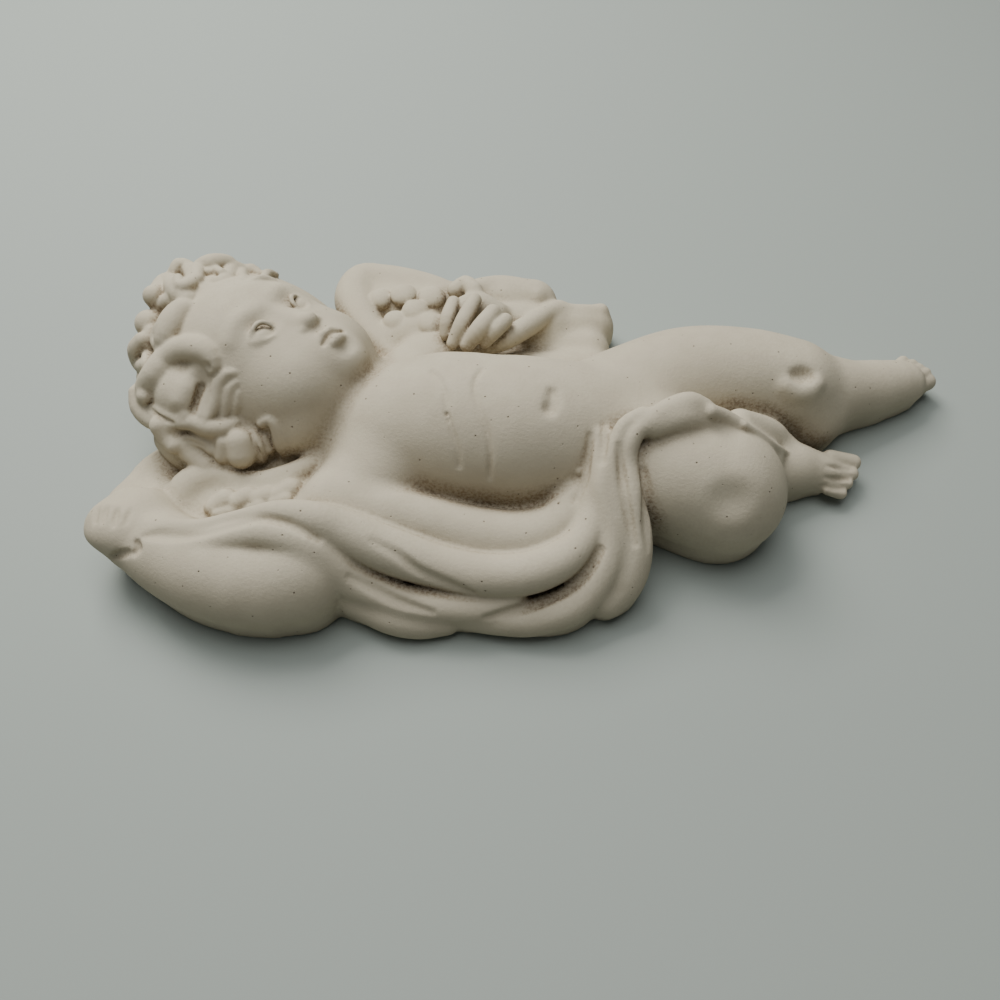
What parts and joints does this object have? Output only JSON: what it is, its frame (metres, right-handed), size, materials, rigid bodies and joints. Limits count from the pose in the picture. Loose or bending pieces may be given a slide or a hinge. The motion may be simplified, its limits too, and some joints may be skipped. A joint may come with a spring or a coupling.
{
  "type": "cherub wall plaque",
  "caption": "Plaster wall plaque of a winged child lying back on a draped cloth, cast in high relief with a flat back.",
  "frame": {"origin": "on the flat back, at the mount wall_back, under the middle of the body", "axes": "+Z out of the wall, square to the flat back; +X along the body from the head to the feet; +Y up the wall as the plaque hangs"},
  "size_m": [0.2663, 0.1406, 0.0498],
  "materials": {
    "plaster": "matte cream-white plaster with brown dust in the creases"
  },
  "bodies": {
    "root": {"cherub_plaque": "plaster"}
  },
  "joints": []
}
